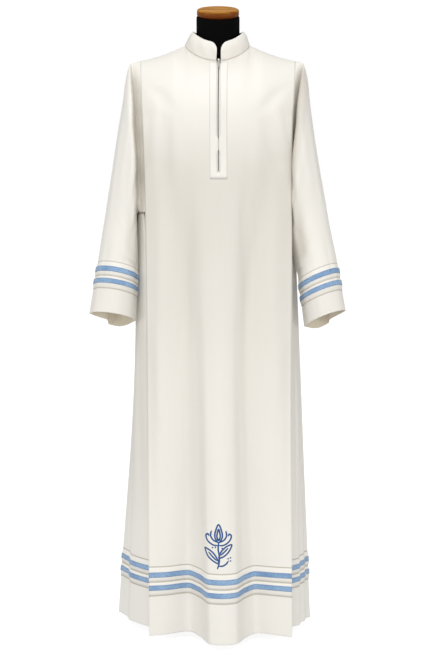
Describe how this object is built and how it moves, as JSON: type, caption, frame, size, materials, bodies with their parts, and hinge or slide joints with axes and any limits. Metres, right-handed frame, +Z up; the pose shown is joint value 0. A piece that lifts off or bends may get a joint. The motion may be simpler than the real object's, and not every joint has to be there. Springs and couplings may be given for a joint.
{
  "type": "alb robe on a limbless dress form",
  "caption": "Long white alb with a stand collar, a front zip, straight sleeves and blue ribbon bands, standing on a limbless dress form with a neck cap, pole and base.",
  "frame": {"origin": "on the floor, on the underside of the dress form's base plate, in line with the pole", "axes": "+Z up; the robe's front faces -Y; the right-hand side of the front view is +X"},
  "size_m": [0.6507, 0.3832, 1.6229],
  "materials": {
    "cloth": "matt plain-weave polyester and cotton, cream white",
    "ribbon": "blue satin ribbon",
    "metal": "plated zip metal",
    "jersey": "black jersey cover",
    "wood": "stained and varnished wood",
    "steel": "white powder coat"
  },
  "bodies": {
    "robe_on_form": {"back_panel": "cloth", "collar": "cloth", "form_base": "steel", "form_body": "jersey", "form_cap": "wood", "form_pole": "steel", "front_panel": "cloth", "hem_ribbon_lower_back": "ribbon", "hem_ribbon_lower_front": "ribbon", "hem_ribbon_lower_left": "ribbon", "hem_ribbon_lower_right": "ribbon", "hem_ribbon_upper_back": "ribbon", "hem_ribbon_upper_front": "ribbon", "hem_ribbon_upper_left": "ribbon", "hem_ribbon_upper_right": "ribbon", "side_panel_left": "cloth", "side_panel_right": "cloth", "sleeve_left": "cloth", "sleeve_ribbon_lower_left": "ribbon", "sleeve_ribbon_lower_right": "ribbon", "sleeve_ribbon_upper_left": "ribbon", "sleeve_ribbon_upper_right": "ribbon", "sleeve_right": "cloth", "zip_chain": "metal", "zip_end_stop": "metal", "zip_placket": "cloth", "zip_slider": "metal"},
    "pull_tab": {"zip_pull_tab": "metal"}
  },
  "joints": [
    {"name": "pull_tab_hinge", "type": "hinge", "parent": "robe_on_form", "child": "pull_tab", "pos_m": [-0.00002, -0.08252, 1.48082], "axis": [-1, 0, 0], "range_deg": [0, 140]}
  ]
}
